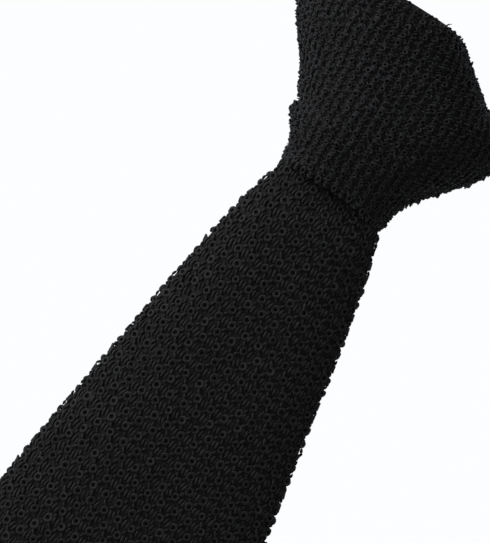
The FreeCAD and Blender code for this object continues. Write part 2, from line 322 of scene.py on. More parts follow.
def ground(name, tube, start, end, material, step=GROUND_STEP, columns=GROUND_COLUMNS):
    """Closed mesh of the tube between two places, with both ends drawn in and shut."""
    ts = np.linspace(start, end, max(FEWEST_ROWS, int((end - start) / step)))
    points = ring_rows(tube, ts, np.full(len(ts), GROUND_INSET), columns)
    return grid_mesh(name, shut(points, CAP_STEPS), material)


def sleeve(name, tube, start, end, wall, material):
    """Mesh of a folded wall of cloth round the tube, open at both ends."""
    ts = np.linspace(start, end, int((end - start) / SLEEVE_STEP))
    inner = np.clip(ts[::-1], start + SLEEVE_TUCK * wall, end - SLEEVE_TUCK * wall)
    ts_all = np.concatenate([ts, inner])
    insets = np.concatenate([np.full(len(ts), GROUND_INSET), np.full(len(inner), wall)])
    return grid_mesh(name, ring_rows(tube, ts_all, insets, SLEEVE_COLUMNS), material, close_rows=True)


# ---------- stitches

def ring_template(around, sides):
    """Yarn ring lying flat: u across the wale, v along it, w outwards."""
    big, small = np.meshgrid(np.arange(around) * 2 * math.pi / around,
                             np.arange(sides) * 2 * math.pi / sides, indexing="ij")
    radius = RING_RADIUS + RING_YARN * np.cos(small)
    height = RING_YARN * (np.sin(small) + RING_LIFT)
    points = np.stack([radius * np.cos(big), radius * np.sin(big), height], -1)
    return points.reshape(-1, 3), grid_quads(around, sides, close_rows=True)


def yarn_pair(bit, sides, steps):
    """Two bits of yarn side by side. bit() gives the points of one from its side, -1 or 1, the place
    along it, from -1 to 1, and the turn round it."""
    points, faces = [], []
    for index, side in enumerate((-1, 1)):
        along, turn = np.meshgrid(np.linspace(-1, 1, steps), np.arange(sides) * 2 * math.pi / sides,
                                  indexing="ij")
        points.append(np.stack(bit(side, along, turn), -1).reshape(-1, 3))
        faces.append(grid_quads(steps, sides) + index * steps * sides)
    return np.concatenate(points), np.concatenate(faces)


def strand_bit(side, along, turn):
    """Short strand along the wale, its ends dipping under the rings."""
    thick = STRAND_YARN * np.sqrt(YARN_FULLNESS - STRAND_TAPER * along ** 2)
    u = side * STRAND_GAP + thick * np.cos(turn)
    v = along * STRAND_LENGTH / 2
    w = STRAND_HEIGHT + thick * np.sin(turn) - STRAND_SINK * along ** 2
    return u, v, w


def grain_bit(side, along, turn):
    """Short bit of yarn for the gap between courses, leaning towards the other one."""
    thick = GRAIN_YARN * np.sqrt(YARN_FULLNESS - along ** 2)
    u = side * (RING_PITCH / 4 + GRAIN_LEAN * along) + thick * np.cos(turn)
    v = along * GRAIN_LENGTH / 2
    w = GRAIN_HEIGHT + thick * np.sin(turn)
    return u, v, w


def straight(p, q):
    """Wales that run straight along the cloth."""
    return p + 0.0 * q, q + 0.0 * p


def skewed(p, q):
    """Wales that leave the knot aslant and straighten lower down."""
    slope = math.tan(math.radians(SKEW_DEGREES))
    low, high = SKEW_END
    share = np.clip((q - low) / (high - low), 0, 1)
    drift = slope * (np.minimum(q, low) + (high - low) * (share - share ** 2 / 2))
    return p - drift, q + slope * (1 - share) * p


def everywhere(s, t):
    """Test that keeps every stitch."""
    return np.full(np.shape(t), True)


def near_front(tube, share):
    """Test for stitches within that share of the way from the middle of the front to the back's."""
    def keep(s, t):
        return np.abs(s + tube.middle(t)) < tube.half_girth(t) * share
    return keep


def past_front(tube, share):
    """Test for the stitches that near_front() leaves out."""
    near = near_front(tube, share)

    def keep(s, t):
        return ~near(s, t)
    return keep


def stitches(name, tube, start, end, cloth, detail, shades, keep=everywhere):
    """Rings and strands over the tube between two places, joined in one mesh. p and q count across and
    along the wales, in mm of loose cloth; cloth() lays them on the tube."""
    rng = np.random.default_rng(SEED + sum(map(ord, name)))
    reach = int(float(np.max(tube.girth)) / RING_PITCH * 2) + SPARE_STITCHES
    course, wale = np.meshgrid(cloth.courses(start, end), np.arange(-reach, reach + 1), indexing="ij")
    points, faces, tints, base = [], [], [], 0
    templates = [(ring_template(*detail["ring"]), 0.0, 0.0, cloth.ring_size),
                 (yarn_pair(strand_bit, *detail["strand"]), 0.5, 0.0, 1.0)]
    if "grain" in detail:
        templates.append((yarn_pair(grain_bit, *detail["grain"]), 0.0, 0.5, 1.0))
    for (shape, quads), wale_shift, course_shift, scale in templates:
        p = ((wale + wale_shift + (course % 2) * 0.5) * RING_PITCH).ravel()
        q = ((course + course_shift) * COURSE_PITCH).ravel()
        s, t = cloth.lay(p, q)
        on_cloth = np.abs(s + tube.middle(t)) < tube.half_girth(t) - EDGE_MARGIN
        inside = (t > start) & (t < end) & on_cloth & keep(s, t)
        count = int(inside.sum())
        noise = rng.normal(0, cloth.loose, (6, count, 1))
        p = p[inside][:, None] + noise[0] * POSITION_JITTER
        q = q[inside][:, None] + noise[1] * POSITION_JITTER
        spin, size = noise[2] * TURN_JITTER, scale * (1 + noise[3] * SIZE_JITTER)
        u = (shape[:, 0] * np.cos(spin) - shape[:, 1] * np.sin(spin)) * size * cloth.widen
        v = (shape[:, 0] * np.sin(spin) + shape[:, 1] * np.cos(spin)) * size
        ss, tt = cloth.lay(p + u, q + v)
        where, normal = tube.frame(ss + tube.middle(tt), tt)
        height = shape[:, 2] + (noise[4] * shape[:, 0] + noise[5] * shape[:, 1]) * TILT_JITTER
        points.append((where + normal * height[..., None]).reshape(-1, 3))
        faces.append(copies(quads, count, len(shape)) + base)
        tints.append(np.repeat(rng.choice(len(shades), count, p=YARN_SHARES), len(quads)))
        base += count * len(shape)
    return new_mesh(name, np.concatenate(points), np.concatenate(faces), np.concatenate(tints), shades)


class Cloth:
    """How the knit is laid on a tube: lay() takes counts p, q in loose cloth to the tube's s, t. along
    says that the wales run along the tube and not round it. widen spreads the stitches over squeezed
    cloth, loose scales their disorder and ring_size the rings."""

    def __init__(self, lay, along=True, widen=1.0, loose=1.0, ring_size=1.0):
        self.lay, self.along = lay, along
        self.widen, self.loose, self.ring_size = widen, loose, ring_size

    def courses(self, start, end):
        """Numbers of the courses that can lie between two places, with some to spare."""
        if not self.along:
            return np.arange(-ROUND_COURSES, ROUND_COURSES)
        first, last = int(start / COURSE_PITCH), int(end / COURSE_PITCH)
        return np.arange(first - SPARE_STITCHES, last + SPARE_STITCHES)


STRAIGHT = Cloth(straight)
SKEWED = Cloth(skewed)


# ---------- materials

YARN_COLOUR = np.array([0.0041, 0.0041, 0.0040])
YARN_SHADES = (0.86, 1.0, 1.14)
GROUND_COLOUR = (0.0036, 0.0036, 0.0035)
THREAD_COLOUR = (0.011, 0.011, 0.0118)
TAPE_COLOUR = (0.02, 0.02, 0.022)
LABEL_COLOUR = (0.035, 0.035, 0.039)
SHEEN_ROUGHNESS = 0.5
SHEEN_TINT = (0.8, 0.85, 1.0, 1)

# Fuzz of each kind of yarn: noise cells per metre, strength and height of its bump in metres, and the
# least and most roughness
NOISE_DETAIL = 3.0
YARN_FUZZ = {"cells": 2600.0, "bump": (0.5, 0.00012), "rough": (0.38, 0.7)}
GROUND_FUZZ = {"cells": 1100.0, "bump": (1.0, 0.0006), "rough": (0.5, 0.95)}
THREAD_FUZZ = {"cells": 3000.0, "bump": (0.5, 0.00008), "rough": (0.4, 0.65)}

TAPE_PITCH = 0.4
TAPE_ROUGHNESS = 0.6
SATIN_PITCH = 0.25
SATIN_ROUGHNESS = 0.4
WAVE_COUNT = 3.1      # waves per metre of a wave texture at scale 1, roughly
WEAVE_DISTORTION = 0.6
WEAVE_BUMP = (0.7, 0.0001)
WEAVE_CELLS = 900.0
WEAVE_SPREAD = (-0.1, 0.15)
WEAVE_SPECULAR = 0.2
WEAVE_SHEEN = 0.05


def principled(name, colour, roughness, specular, sheen=0.0):
    """New material and its shader node."""
    material = bpy.data.materials.new(name)
    material.use_nodes = True
    shader = material.node_tree.nodes["Principled BSDF"]
    values = {"Base Color": (*colour, 1), "Roughness": roughness, "Specular IOR Level": specular,
              "Sheen Weight": sheen, "Sheen Roughness": SHEEN_ROUGHNESS, "Sheen Tint": SHEEN_TINT}
    for socket, value in values.items():
        shader.inputs[socket].default_value = value
    return material, shader


def noise_texture(material, cells):
    """Noise in the object's own place, in cells per metre."""
    tree = material.node_tree
    where = tree.nodes.new("ShaderNodeTexCoord")
    noise = tree.nodes.new("ShaderNodeTexNoise")
    noise.inputs["Scale"].default_value = cells
    noise.inputs["Detail"].default_value = NOISE_DETAIL
    tree.links.new(where.outputs["Object"], noise.inputs["Vector"])
    return noise.outputs["Fac"]


def add_bump(material, shader, source, strength, distance):
    """Bumps of that height in metres, where the source is high."""
    tree = material.node_tree
    bump = tree.nodes.new("ShaderNodeBump")
    bump.inputs["Strength"].default_value = strength
    bump.inputs["Distance"].default_value = distance
    tree.links.new(source, bump.inputs["Height"])
    tree.links.new(bump.outputs["Normal"], shader.inputs["Normal"])


def add_roughness(material, shader, source, low, high):
    """Roughness that follows the source between two values."""
    tree = material.node_tree
    spread = tree.nodes.new("ShaderNodeMapRange")
    spread.inputs["To Min"].default_value = low
    spread.inputs["To Max"].default_value = high
    tree.links.new(source, spread.inputs["Value"])
    tree.links.new(spread.outputs["Result"], shader.inputs["Roughness"])


def fuzzy(name, colour, roughness, specular, fuzz, sheen=0.0):
    """Material of yarn or cloth with fuzz on it."""
    material, shader = principled(name, colour, roughness, specular, sheen)
    noise = noise_texture(material, fuzz["cells"])
    add_bump(material, shader, noise, *fuzz["bump"])
    add_roughness(material, shader, noise, *fuzz["rough"])
    return material


def woven(name, colour, pitch, roughness):
    """Material of a fine plain weave: threads across and along, as bump."""
    material, shader = principled(name, colour, roughness, WEAVE_SPECULAR, WEAVE_SHEEN)
    tree = material.node_tree
    where = tree.nodes.new("ShaderNodeTexCoord")
    waves = []
    for way in ("X", "Z"):
        wave = tree.nodes.new("ShaderNodeTexWave")
        wave.bands_direction = way
        wave.inputs["Scale"].default_value = 1000 / pitch / WAVE_COUNT
        wave.inputs["Distortion"].default_value = WEAVE_DISTORTION
        tree.links.new(where.outputs["Object"], wave.inputs["Vector"])
        waves.append(wave.outputs["Fac"])
    height = tree.nodes.new("ShaderNodeMath")
    height.operation = "MULTIPLY"
    for wave, socket in zip(waves, height.inputs):
        tree.links.new(wave, socket)
    add_bump(material, shader, height.outputs["Value"], *WEAVE_BUMP)
    low, high = (roughness + spread for spread in WEAVE_SPREAD)
    add_roughness(material, shader, noise_texture(material, WEAVE_CELLS), low, high)
    return material


# Three blacks of fuzzy yarn, dealt out stitch by stitch, and the dark cloth under them
YARN = [fuzzy(f"knit_yarn_{index}", YARN_COLOUR * shade, 0.62, 0.026, YARN_FUZZ, 0.04)
        for index, shade in enumerate(YARN_SHADES)]
GROUND = fuzzy("knit_ground", GROUND_COLOUR, 0.75, 0.03, GROUND_FUZZ)
THREAD = fuzzy("sewing_thread", THREAD_COLOUR, 0.5, 0.3, THREAD_FUZZ)
RIBBON = woven("woven_ribbon", TAPE_COLOUR, TAPE_PITCH, TAPE_ROUGHNESS)
SATIN = woven("satin_label", LABEL_COLOUR, SATIN_PITCH, SATIN_ROUGHNESS)


# ---------- blade and tail

X_AXIS = np.array([1.0, 0.0, 0.0])
Y_AXIS = np.array([0.0, 1.0, 0.0])
STRIP_START = -4.0
TAIL_START = -2.2
BLADE_LEAD = 4.0      # how far each tube's shape runs on above STRIP_START
TAIL_LEAD = 1.0
END_GAP = 0.9
EDGE = 1.3
EDGE_KNIT = 0.8       # how far the yarn stands out past the cloth's edges
FLAT_CROWN = 0.05     # least swell of a side that lies flat
FRONT_SHARE = 0.55    # share of the cloth, from the middle of the front, with the finest stitches
WIDTH_SAMPLES = 9
AREA_SAMPLES = 50

BLADE_MIDDLE_Y = -6.9
BLADE_CROWN = 4.2
BLADE_CROWN_LOW = 1.2
BLADE_CROWN_FADE = (90.0, 260.0)
THROAT_DIP = 2.6      # how far the blade's front is pressed back under the knot's lip
THROAT_DIP_FADE = (-1.0, 8.0)
BLADE_DEPTHS = (-8.0, 0.0, 8.0, 20.0, 42.0, 65.0, 80.0, 112.0, 140.0)
BLADE_HALVES = (10.0, 12.4, 14.8, 17.3, 21.0, 24.9, 27.2, BLADE_HALF - EDGE_KNIT, BLADE_HALF - EDGE_KNIT)

TAIL_MIDDLE_Y = -2.45
TAIL_EDGE = 1.0
TAIL_CROWN = 0.3
TAIL_DEPTHS = (-6.0, 0.0, 12.0, 40.0, 70.0, 90.0)
TAIL_HALVES = (8.6, 9.4, 12.4, 16.2, TAIL_HALF - EDGE_KNIT, TAIL_HALF - EDGE_KNIT)


def steady(value):
    """The same value or direction all along."""
    return lambda t: value


def hanging(y):
    """Centre line of a strip that hangs straight down."""
    def centre(t):
        t = np.asarray(t, float)
        return np.stack([0 * t, 0 * t + y, -t], -1)
    return centre


def blade_crown(t):
    """Swell of the blade's front: full below the knot, pressed back under its lip, flatter lower down."""
    dip = THROAT_DIP * float(1 - ramp(t, *THROAT_DIP_FADE))
    return BLADE_CROWN - dip - (BLADE_CROWN - BLADE_CROWN_LOW) * float(ramp(t, *BLADE_CROWN_FADE))


def blade_tube():
    return Tube(STRIP_START - BLADE_LEAD, BLADE_LENGTH, hanging(BLADE_MIDDLE_Y), steady(X_AXIS),
                steady(Y_AXIS), curve_through(BLADE_DEPTHS, BLADE_HALVES), steady(EDGE), blade_crown,
                steady(FLAT_CROWN))


def tail_tube():
    return Tube(STRIP_START - TAIL_LEAD, TAIL_LENGTH, hanging(TAIL_MIDDLE_Y), steady(X_AXIS),
                steady(Y_AXIS), curve_through(TAIL_DEPTHS, TAIL_HALVES), steady(TAIL_EDGE),
                steady(FLAT_CROWN), steady(TAIL_CROWN))


def cut_area(tube, start, end):
    """Area in square metres of the flattened tube between two places."""
    ts = np.linspace(start, end, AREA_SAMPLES)
    return float(np.mean(tube.half_girth(ts))) * (end - start) / 1e6


def strip_span(name, tube, start, end, cloth, bodies, bend, fine=False, end_gap=0.0):
    """One length of a hanging strip, its ground cloth and its stitches: riding on its body, or baked in
    place.
    """
    base = ground(f"{name}_cloth", tube, start, end, GROUND)
    if fine:
        knit = [stitches(f"{name}_knit_front", tube, start, end, cloth, FINE, YARN,
                         keep=near_front(tube, FRONT_SHARE)),
                stitches(f"{name}_knit_back", tube, start, end, cloth, PLAIN, YARN,
                         keep=past_front(tube, FRONT_SHARE))]
    else:
        knit = [stitches(f"{name}_knit", tube, start, end - end_gap, cloth, PLAIN, YARN)]
    for piece in [base] + knit:
        if bend:
            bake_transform(piece)
        else:
            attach(piece, bodies[-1])
    width = float(np.max(tube.half_girth(np.linspace(start, end, WIDTH_SAMPLES)))) / 1000
    cut_area(tube, start, end)
    return base


BLADE_BODIES = ("blade_throat", "blade_upper", "blade_middle", "blade_lower")
TAIL_BODIES = ("blade_throat", "tail_upper", "tail_middle", "tail_lower")
BENDS = ((3.0, 40.0), (120.0, 180.0), (260.0, 320.0))
CUTS = (100.0, 220.0, 330.0)


def make_strip(name, tube, start, length, cloth, bodies, nodes, fine=False):
    """The strip in four lengths: three that are baked in place, and the free end, which rides on its body.
    """
    made = []
    for index, (high, low) in enumerate(zip((start,) + CUTS, CUTS + (length,))):
        last = index == len(CUTS)
        made.append(strip_span(f"{name}_{index}", tube, high, low, cloth, bodies[index:index + 2],
                               None if last else BENDS[index], fine and index == 0,
                               END_GAP if last else 0.0))
    for base, group in zip(made, nodes):
        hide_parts(*group)


def make_blade():
    make_strip("front_blade", blade_tube(), STRIP_START, BLADE_LENGTH, SKEWED, BLADE_BODIES,
               (("front_blade_throat", "front_blade_upper"), ("front_blade_middle",), (),
                ("front_blade_lower",)), fine=True)


def make_tail():
    make_strip("tail", tail_tube(), TAIL_START, TAIL_LENGTH, STRAIGHT, TAIL_BODIES,
               (("tail_throat", "tail_upper"), ("tail_middle",), (), ("tail_lower",)))


# ---------- knot

KNOT_LEFT = ((0.0, 12.2), (2.8, 12.3), (5.4, 12.6), (9.9, 14.5), (12.8, 15.9), (15.0, 15.3), (17.2, 16.6),
             (21.7, 18.9), (31.8, 25.7), (38.0, 27.3), (43.0, 26.5))
KNOT_RIGHT = ((0.0, 12.7), (4.3, 13.0), (8.3, 14.9), (13.9, 19.4), (19.8, 24.5), (24.0, 26.6), (27.0, 26.0),
              (33.7, 17.6), (43.0, 6.2))
KNOT_HEIGHTS = (0.0, 5.0, 12.0, 20.0, 32.0, 40.0, 43.0)
KNOT_FRONT = (13.2, 14.8, 17.0, 19.0, 19.0, 17.3, 14.3)
KNOT_BACK = (3.0, 4.0, 6.0, 8.0, 10.0, 10.0, 9.0)
KNOT_SIDE_Y = -4.0
KNOT_TOP = 43.0
KNOT_WALL = 2.6
LIP_ROLL = 1.6
LIP_LEFT = 2.0        # height of the lip on the left and in the middle, falling to nothing on the right
LIP_FALL = (2.0, 12.0)
LIP_FADE = 16.0
KNOT_ALONG = 0.78     # squeeze of the knit along the wrap
KNOT_ACROSS = 0.52    # squeeze of the knit across it
KNOT_RISE = 0.36
LIP_ALONG = 0.7
LIP_ROW = 0.9         # height of the row of stitches along the lip
LIP_START = 0.3
LIP_TOP = 1.5
KNOT_EDGE = 4.5       # most radius of the knot's sides, and their share of its half width
KNOT_EDGE_SHARE = 0.3
KNOT_RISE_EASE = 18.0
KNOT_FIRST_ROW = 1.2
KNOT_START = 0.1
KNOT_TOP_GAP = 0.4
KNOT_FRONT_SHARE = 0.62
GIRTH_SAMPLES = 20


def lip_shift(points):
    """Lifts the lip on the left, fading out higher up the knot."""
    lift = LIP_LEFT * (1 - ramp(points[..., 0], *LIP_FALL)) * (1 - ramp(points[..., 2], 0, LIP_FADE))
    return np.stack([0 * lift, 0 * lift, lift], -1)


def rolled(t):
    """How far the surface draws in at the lip, which is rolled under."""
    gap = min(1.0, max(0.0, (LIP_ROLL - t) / LIP_ROLL))
    return LIP_ROLL * (1 - math.sqrt(max(0.0, 1 - gap * gap)))


def knot_tube(inset=0.0):
    """The knot's outside, or a tube so far inside it."""
    left, right = curve_through(*zip(*KNOT_LEFT)), curve_through(*zip(*KNOT_RIGHT))
    front, back = curve_through(KNOT_HEIGHTS, KNOT_FRONT), curve_through(KNOT_HEIGHTS, KNOT_BACK)

    def middle(t):
        return (right(t) - left(t)) / 2

    def centre(t):
        t = np.asarray(t, float)
        return np.stack([middle(t), 0 * t + KNOT_SIDE_Y, t], -1)

    def half(t):
        return (left(t) + right(t)) / 2 - rolled(t) - inset

    def edge(t):
        return min(KNOT_EDGE, KNOT_EDGE_SHARE * half(t))

    return Tube(0.0, KNOT_TOP, centre, steady(X_AXIS), steady(Y_AXIS), half, edge,
                lambda t: front(t) + KNOT_SIDE_Y - edge(t) - rolled(t) - inset,
                lambda t: back(t) - KNOT_SIDE_Y - edge(t) - rolled(t) - inset,
                middle=lambda t: -middle(t), shift=lip_shift)


def wrapped(p, q):
    """Wales that run round the knot, level on the left and rising to the right."""
    around = q * KNOT_ALONG
    rise = KNOT_RISE * np.where(around > 0, around ** 2 / (np.abs(around) + KNOT_RISE_EASE), 0.0)
    return around + 0.0 * p, KNOT_FIRST_ROW + p * KNOT_ACROSS + rise


WRAPPED = Cloth(wrapped, along=False, widen=1.35, loose=1.7, ring_size=0.85)


def lipped(p, q):
    """Wales that run level along the lip."""
    return q * LIP_ALONG + 0.0 * p, LIP_ROW + p * KNOT_ACROSS + 0.0 * q


LIPPED = Cloth(lipped, along=False, widen=1.6, loose=0.7)


def make_knot():
    tube = knot_tube()
    base = sleeve("knot_wrap_cloth", tube, KNOT_START, KNOT_TOP, KNOT_WALL, GROUND)
    top = KNOT_TOP - KNOT_TOP_GAP
    knit = [stitches("knot_wrap_knit_front", tube, LIP_TOP, top, WRAPPED, TIGHT, YARN,
                     keep=near_front(tube, KNOT_FRONT_SHARE)),
            stitches("knot_wrap_knit_back", tube, LIP_TOP, top, WRAPPED, PLAIN, YARN,
                     keep=past_front(tube, KNOT_FRONT_SHARE)),
            stitches("knot_wrap_knit_lip", tube, LIP_START, LIP_TOP, LIPPED, FINE, YARN)]
    for piece in [base] + knit:
        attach(piece, "knot")
    girth = 2 * float(np.mean(tube.half_girth(np.linspace(0, KNOT_TOP, GIRTH_SAMPLES)))) / 1000
    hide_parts("knot_front_wrap", "knot_back_wrap")
    make_knot_core()


CORE_INSET = 4.2
CORE_LOW = 9.6
CORE_TOP = 38.0
CORE_KNIT_DEPTH = 8.0
CORE_KNIT_GAP = 0.5


def make_knot_core():
    """Folded layers inside the wraps, seen only from above."""
    tube = knot_tube(CORE_INSET)
    base = ground("knot_core_cloth", tube, CORE_LOW, CORE_TOP, GROUND)
    knit = stitches("knot_core_knit", tube, CORE_TOP - CORE_KNIT_DEPTH, CORE_TOP - CORE_KNIT_GAP, WRAPPED,
                    PLAIN, YARN)
    for piece in (base, knit):
        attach(piece, "knot")
    half = float(np.mean(tube.half_girth(np.linspace(CORE_LOW, CORE_TOP, GIRTH_SAMPLES)))) / 1000
    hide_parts("knot_inner_pass", "knot_under_wrap")


# ---------- neck loop

LOOP_RADIUS = 64.0
LOOP_CENTRE_Y = 80.0
BAND_WIDTH = 34.0
BAND_WIDTH_AT_KNOT = 11.6
BAND_NARROWING_ANGLE = 45.0
BAND_FRONT_Z = 31.0
BAND_RISE = 67.0
BLADE_SIDE_START = 12.0
TAIL_SIDE_START = 18.0
TAIL_SIDE_DIP = 6.0
TAIL_SIDE_DIP_ANGLE = 24.0
JOIN_ANGLE = 100.0
BAND_EDGE = 1.45
BAND_CROWN = 0.25
GATHER_DIP = 12.0
GATHER_ANGLE = 16.0
CROSSING_WIDTH = 10.0
CROSSING_STEP = 3.0
CROSSING_END = 8.0
CROSSING_EASE = 3.0   # degrees over which the strip levels out
CROSSING_STEP_FADE = (-4.0, 8.0)
BAND_EDGE_KNIT = 0.7
BAND_KNIT_GAP = 0.6
BAND_BEND_ANGLE = 70.0    # where the blade's side starts to follow the knot
NARROW_COLUMNS = 48
LOOP_END = 360 - TAIL_SIDE_START
MM_PER_DEGREE = LOOP_RADIUS * math.pi / 180


def loop_height(angle):
    """Height of the band's middle: it rises to the back and dips where it is gathered at the knot."""
    before_end = -CROSSING_EASE * np.logaddexp(0, (LOOP_END - angle) / CROSSING_EASE)
    dip = TAIL_SIDE_DIP * np.exp(before_end / TAIL_SIDE_DIP_ANGLE)
    gather = GATHER_DIP * np.exp(before_end / GATHER_ANGLE)
    angle = LOOP_END + before_end
    return BAND_FRONT_Z + BAND_RISE * np.sin(np.radians(angle) / 2) - dip - gather


def loop_radius(angle):
    """The tail's strip passes outside the loop's ends, behind the knot."""
    low, high = (LOOP_END + fade for fade in CROSSING_STEP_FADE)
    return LOOP_RADIUS + CROSSING_STEP * ramp(angle, low, high)


def loop_point(t):
    """Middle of the band, at t mm round from the front, the blade's side first."""
    angle = np.asarray(t, float) / MM_PER_DEGREE
    turn, radius = np.radians(angle), loop_radius(angle)
    return np.stack([-radius * np.sin(turn), LOOP_CENTRE_Y - radius * np.cos(turn), loop_height(angle)], -1)


ENTRY_START = -4.0
ENTRY_TURN = (8.0, 36.0)
# Place along the strip, and X, Y and Z there
ENTRY_PATH = ((-4.0, -16.0, -1.0, 35.0), (2.0, -16.2, 2.6, 41.4), (10.0, -17.0, 9.0, 45.2),
              (20.0, -21.5, 16.8, 46.2))
ENTRY_JOIN = (29.0, 37.0)


def entry_point(t):
    """Middle of the blade's side, which leaves the loop and dives over the knot's back into its top."""
    t = np.asarray(t, float)
    joined = [(at, *loop_point(at)) for at in ENTRY_JOIN]
    ts, *ways = zip(*ENTRY_PATH, *joined)
    dive = np.stack([curve_through(ts, way)(t) for way in ways], -1)
    return np.where((t < ENTRY_JOIN[0])[..., None], dive, loop_point(t))


def entry_frame(t):
    """Directions across the blade's side and towards the neck; it turns over to lie flat at the knot."""
    run = direction(entry_point, t)
    share = ramp(t, *ENTRY_TURN)[..., None]
    across = loop_upwards(t) * share - X_AXIS * (1 - share)
    across = unit(across - run * (across * run).sum(-1, keepdims=True))
    return across, np.cross(run, across)


def entry_across(t):
    return entry_frame(t)[0]


def entry_inwards(t):
    return entry_frame(t)[1]


def loop_inwards(t):
    turn = np.radians(np.asarray(t, float) / MM_PER_DEGREE)
    return np.stack([np.sin(turn), np.cos(turn), 0 * turn], -1)


def loop_upwards(t):
    return unit(np.cross(loop_inwards(t), direction(loop_point, t)))


def band_half(t):
    """The band is gathered where it enters the knot, most of all on the tail's side."""
    angle = t / MM_PER_DEGREE
    at_knot = BAND_WIDTH_AT_KNOT if angle < 180 else CROSSING_WIDTH
    past_start = min(angle - BLADE_SIDE_START, LOOP_END - angle)
    share = min(1.0, max(0.0, past_start / BAND_NARROWING_ANGLE))
    return (at_knot + (BAND_WIDTH - at_knot) * math.sin(share * math.pi / 2)) / 2 - BAND_EDGE_KNIT


LOOP_WAYS = (loop_point, loop_upwards, loop_inwards)
ENTRY_WAYS = (entry_point, entry_across, entry_inwards)


def make_band(name, start, end, ways=LOOP_WAYS, bodies=None):
    """One length of the band along its ways: middle, across and inwards. It rides on the neck band, or,
    given two bodies, is baked in place."""
    tube = Tube(start, end, *ways, band_half, steady(BAND_EDGE), steady(BAND_CROWN), steady(BAND_CROWN))
    base = ground(f"{name}_cloth", tube, start, end, GROUND, columns=NARROW_COLUMNS)
    knit = stitches(f"{name}_knit", tube, start + BAND_KNIT_GAP, end - BAND_KNIT_GAP, STRAIGHT, PLAIN, YARN)
    for piece in (base, knit):
        if bodies:
            place(loop_point(BAND_BEND_ANGLE * MM_PER_DEGREE))
            place(entry_point(ENTRY_TURN[0]))
            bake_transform(piece)
        else:
            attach(piece, "neck_band")
    cut_area(tube, start, end)
    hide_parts(name)


STRAND_X = -3.4       # clear of the knot's right wall, which the strand passes when the knot slides
STRAND_HALF = 7.0
STRAND_THICK = 1.2
STRAND_CROWN = 0.1
STRAND_KNIT_START = 0.8
STRAND_END_GAP = 0.5
# Y and Z of the strand's middle
STRAND_PATH = ((16.4, 21.0), (16.2, 34.0), (14.0, 39.6), (9.0, 40.9), (2.0, 40.8), (-1.6, 39.0),
               (-2.45, 34.0), (-2.45, 18.0), (-2.45, 4.6))


def make_strand():
    """The tail inside the knot: from the loop's strip, over the knot's back and down through it."""
    length = path_lengths(STRAND_PATH)
    ys, zs = (curve_through(length, values) for values in zip(*STRAND_PATH))

    def centre(t):
        t = np.asarray(t, float)
        return np.stack([0 * t + STRAND_X, ys(t), zs(t)], -1)

    def depth(t):
        run = direction(centre, t)
        return np.stack([run[..., 0], -run[..., 2], run[..., 1]], -1)

    end = float(length[-1])
    tube = Tube(0.0, end, centre, steady(X_AXIS), depth, steady(STRAND_HALF), steady(STRAND_THICK),
                steady(STRAND_CROWN), steady(STRAND_CROWN))
    base = ground("tail_strand_cloth", tube, STRAND_END_GAP, end, GROUND, columns=NARROW_COLUMNS)
    knit = stitches("tail_strand_knit", tube, STRAND_KNIT_START, end - STRAND_END_GAP, STRAIGHT, PLAIN, YARN)
    for piece in (base, knit):
        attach(piece, "neck_band")
    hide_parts("tail_strand")


def make_loop():
    first, last = JOIN_ANGLE * MM_PER_DEGREE, (360 - JOIN_ANGLE) * MM_PER_DEGREE
    make_band("neckband_blade_side", ENTRY_START, first, ENTRY_WAYS, ("neck_band", "knot"))
    make_band("neckband_back", first, last)
    make_band("neckband_tail_side", last, (360 + CROSSING_END) * MM_PER_DEGREE)
    make_strand()


# ---------- hems, seams, keeper and label

HEM_HEIGHT = 12.0
HEM_EDGE = 0.3
STITCH_PITCH = 6.0
STITCH_SLANT = 0.5
THREAD_THICK = 0.22
HEM_EDGE_KNIT = 0.9
HEM_CROWN = 0.02
HEM_COLUMNS = 64
HEM_STEP = 1.5
HEM_KNIT_GAP = 0.8
HEM_STITCH_REACH = (-0.8, 1.2)    # below and above the hem's edge
ROUNDING = 0.01
THREAD_SIDES = 6
THREAD_STEPS = 9
THREAD_RISE = 0.6                 # middle of a stitch over the cloth, and how far its ends dive below
THREAD_DIVE = 1.6                 # that, in thicknesses of thread
THREAD_FULLNESS = 1.1


def box_mm(node):
    """Low and high corners of a node's box, in mm from the knot's lower edge."""
    return [(np.array(corner) - LIP) * 1000 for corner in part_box(node)]


def make_hem(name, node, half, surface_y, end_z, body):
    """Turned-up end of the knit, flat against the back."""
    tube = Tube(-end_z - HEM_HEIGHT, -end_z, hanging(surface_y + HEM_EDGE / 2), steady(X_AXIS),
                steady(Y_AXIS), steady(half - HEM_EDGE_KNIT), steady(HEM_EDGE), steady(HEM_CROWN),
                steady(HEM_CROWN))
    base = ground(f"{name}_cloth", tube, tube.start, tube.end, GROUND, columns=HEM_COLUMNS, step=HEM_STEP)
    knit = stitches(f"{name}_knit", tube, tube.start + HEM_KNIT_GAP, tube.end - END_GAP, STRAIGHT, PLAIN,
                    YARN, keep=past_front(tube, 0.5))
    for piece in (base, knit):
        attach(piece, body)
    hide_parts(node)


def thread_arch(a, b, out):
    """One stitch of thread from a to b, which rises off the cloth in its middle and dips at its ends."""
    along = np.linspace(-1, 1, THREAD_STEPS)
    run = unit(b - a)
    side = np.cross(run, out)
    height = THREAD_THICK * (THREAD_RISE - THREAD_DIVE * along[:, None] ** 4)
    middle = (a + b) / 2 + along[:, None] * (b - a) / 2 + out * height
    turn = np.arange(THREAD_SIDES) * 2 * math.pi / THREAD_SIDES
    circle = np.cos(turn)[:, None] * side + np.sin(turn)[:, None] * out
    thick = THREAD_THICK * np.sqrt(THREAD_FULLNESS - along ** 2)
    points = middle[:, None] + circle[None] * thick[:, None, None]
    return points.reshape(-1, 3), grid_quads(THREAD_STEPS, THREAD_SIDES)


